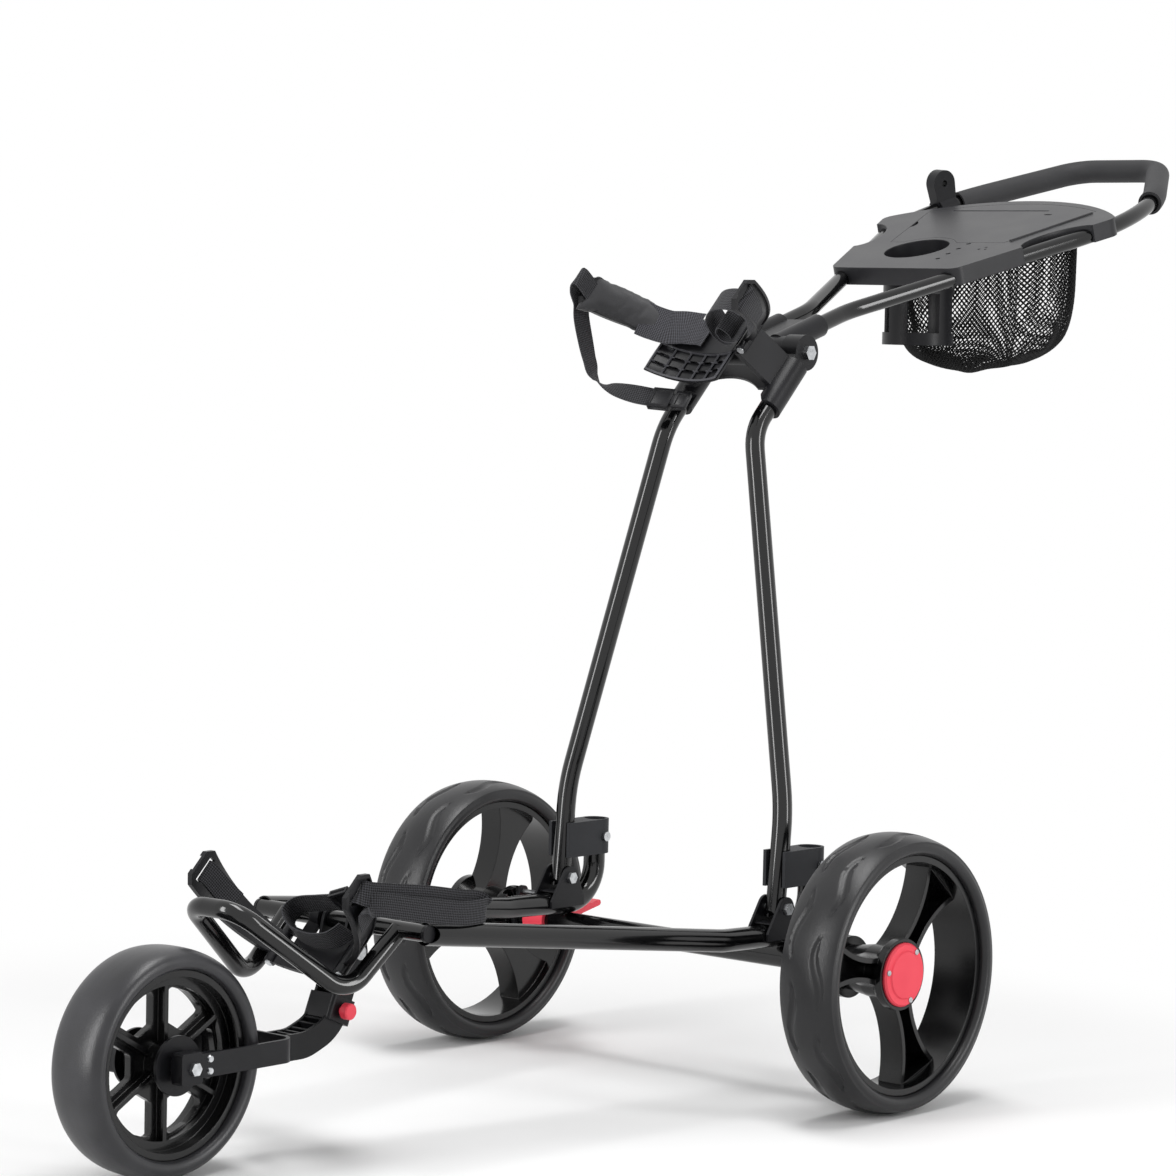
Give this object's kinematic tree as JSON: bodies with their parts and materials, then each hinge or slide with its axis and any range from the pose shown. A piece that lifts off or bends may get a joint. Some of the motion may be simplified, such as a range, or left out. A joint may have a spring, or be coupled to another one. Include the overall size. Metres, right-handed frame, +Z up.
{
  "type": "folding golf push cart",
  "caption": "Folding golf push cart with foam tyres, folding front arm and mast, angled handle with a console tray and net, hinged bag cradles, foot brake and bag rest bar.",
  "frame": {"origin": "on the ground under the middle of the bounding box", "axes": "+Z up, -Y forward towards the front wheel, +X towards the cart's left"},
  "size_m": [0.674, 1.7802, 1.0657],
  "materials": {
    "tube": "gloss black powder coat",
    "bracket_metal": "satin black paint",
    "steel": "zinc plated",
    "foam_tyre": "matt closed-cell foam",
    "moulded_plastic": "fine moulded grain",
    "clip_plastic": "matt",
    "tray_plastic": "fine moulded grain",
    "red_plastic": "semi-gloss",
    "webbing": "woven webbing",
    "pad_fabric": "padded sleeve cloth",
    "net": "knotless mesh",
    "foam_grip": "matt foam",
    "white_wire": "coated wire"
  },
  "bodies": {
    "chassis": {"rear_axle_tube": "tube", "axle_stubs": "steel", "side_tube_left": "tube", "side_tube_right": "tube", "front_cross_tube": "tube", "tube_end_caps": "moulded_plastic", "bag_rest_bar": "tube", "front_bracket": "bracket_metal", "mast_clevises": "bracket_metal", "mast_clips": "clip_plastic", "chassis_fasteners": "steel", "lower_cradle_body": "moulded_plastic", "brake_guide_plate": "bracket_metal"},
    "rear_wheel_left": {"rear_tyre_left": "foam_tyre", "rear_rim_left": "moulded_plastic", "hub_cap_left": "red_plastic", "cap_screws_left": "steel", "hub_bushes_left": "moulded_plastic"},
    "rear_wheel_right": {"rear_tyre_right": "foam_tyre", "rear_rim_right": "moulded_plastic", "hub_cap_right": "red_plastic", "cap_screws_right": "steel", "hub_bushes_right": "moulded_plastic"},
    "front_arm": {"front_arm": "moulded_plastic", "front_fork": "bracket_metal", "fork_end_blocks": "moulded_plastic", "front_axle_and_rivets": "steel", "latch_spring": "steel"},
    "front_wheel": {"front_tyre": "foam_tyre", "front_rim": "moulded_plastic", "front_hub_discs": "moulded_plastic"},
    "latch_button": {"latch_button": "red_plastic"},
    "brake_pedal": {"brake_pedal": "red_plastic"},
    "brake_pin": {"brake_pin": "steel"},
    "lower_wing_left": {"lower_wing_left": "moulded_plastic", "lower_strap_left": "webbing"},
    "lower_wing_right": {"lower_wing_right": "moulded_plastic", "lower_strap_right": "webbing"},
    "mast": {"uprights": "tube", "mast_bracket": "moulded_plastic", "mast_fasteners": "steel", "elastic_band": "webbing", "wire_hook": "white_wire"},
    "upper_wing_left": {"upper_wing_left": "moulded_plastic", "upper_strap_left": "webbing"},
    "upper_wing_right": {"upper_wing_right": "moulded_plastic", "upper_pad_sleeve": "pad_fabric", "upper_webbing": "webbing", "strap_buckle": "moulded_plastic"},
    "handle": {"handle_root": "moulded_plastic", "handle_tube": "tube", "foam_grip": "foam_grip", "console_tray": "tray_plastic", "lid_pin": "steel", "cup_cradle": "tray_plastic", "net_bag": "net", "umbrella_holder": "moulded_plastic"},
    "tray_lid": {"tray_lid": "tray_plastic"},
    "clamp_knob": {"clamp_knob": "red_plastic"}
  },
  "joints": [
    {"name": "rear_wheel_left_spin", "type": "hinge", "parent": "chassis", "child": "rear_wheel_left", "pos_m": [0.3005, 0.02193, 0.1525], "axis": [1, 0, 0], "continuous": true},
    {"name": "rear_wheel_right_spin", "type": "hinge", "parent": "chassis", "child": "rear_wheel_right", "pos_m": [-0.3005, 0.02193, 0.1525], "axis": [1, 0, 0], "continuous": true},
    {"name": "front_arm_fold", "type": "hinge", "parent": "chassis", "child": "front_arm", "pos_m": [0, -0.51007, 0.197], "axis": [1, 0, 0], "range_deg": [0, 160]},
    {"name": "front_wheel_spin", "type": "hinge", "parent": "front_arm", "child": "front_wheel", "pos_m": [0, -0.77507, 0.115], "axis": [1, 0, 0], "continuous": true},
    {"name": "latch_button_press", "type": "slide", "parent": "front_arm", "child": "latch_button", "axis": [-1, 0, 0], "range_m": [0, 0.004], "stiffness_N_per_m": 900, "springref_m": -0.003, "deforming": ["latch_spring"]},
    {"name": "mast_fold", "type": "hinge", "parent": "chassis", "child": "mast", "pos_m": [0, 0.00343, 0.209], "axis": [1, 0, 0], "range_deg": [0, 83]},
    {"name": "handle_fold", "type": "hinge", "parent": "mast", "child": "handle", "pos_m": [0, 0.14891, 0.8184], "axis": [-1, 0, 0], "range_deg": [-15, 90]},
    {"name": "clamp_knob_turn", "type": "hinge", "parent": "mast", "child": "clamp_knob", "pos_m": [0, 0.14891, 0.8184], "axis": [1, 0, 0], "continuous": true},
    {"name": "tray_lid_open", "type": "hinge", "parent": "handle", "child": "tray_lid", "pos_m": [0.0909, 0.51208, 0.95364], "axis": [0.2765, 0.918, 0.2842], "range_deg": [0, 100]},
    {"name": "brake_pedal_press", "type": "hinge", "parent": "chassis", "child": "brake_pedal", "pos_m": [0, 0.02193, 0.1525], "axis": [-1, 0, 0], "range_deg": [0, 20]},
    {"name": "brake_pin_slide", "type": "slide", "parent": "chassis", "child": "brake_pin", "axis": [-1, 0, 0], "range_m": [0, 0.0075]},
    {"name": "lower_wing_left_swing", "type": "hinge", "parent": "chassis", "child": "lower_wing_left", "pos_m": [0.05085, -0.5439, 0.21355], "axis": [0, -0.7009, -0.7133], "range_deg": [-6, 18]},
    {"name": "lower_wing_right_swing", "type": "hinge", "parent": "chassis", "child": "lower_wing_right", "pos_m": [-0.05085, -0.5439, 0.21355], "axis": [0, 0.7009, 0.7133], "range_deg": [-6, 18]},
    {"name": "upper_wing_left_swing", "type": "hinge", "parent": "mast", "child": "upper_wing_left", "pos_m": [0.05085, 0.04767, 0.81554], "axis": [0, -0.7009, -0.7133], "range_deg": [-6, 18]},
    {"name": "upper_wing_right_swing", "type": "hinge", "parent": "mast", "child": "upper_wing_right", "pos_m": [-0.05085, 0.04767, 0.81554], "axis": [0, 0.7009, 0.7133], "range_deg": [-6, 18]}
  ],
  "couplings": [
    {"joint": "brake_pin_slide", "follows": "brake_pedal_press", "m_per_rad": 0.02}
  ]
}
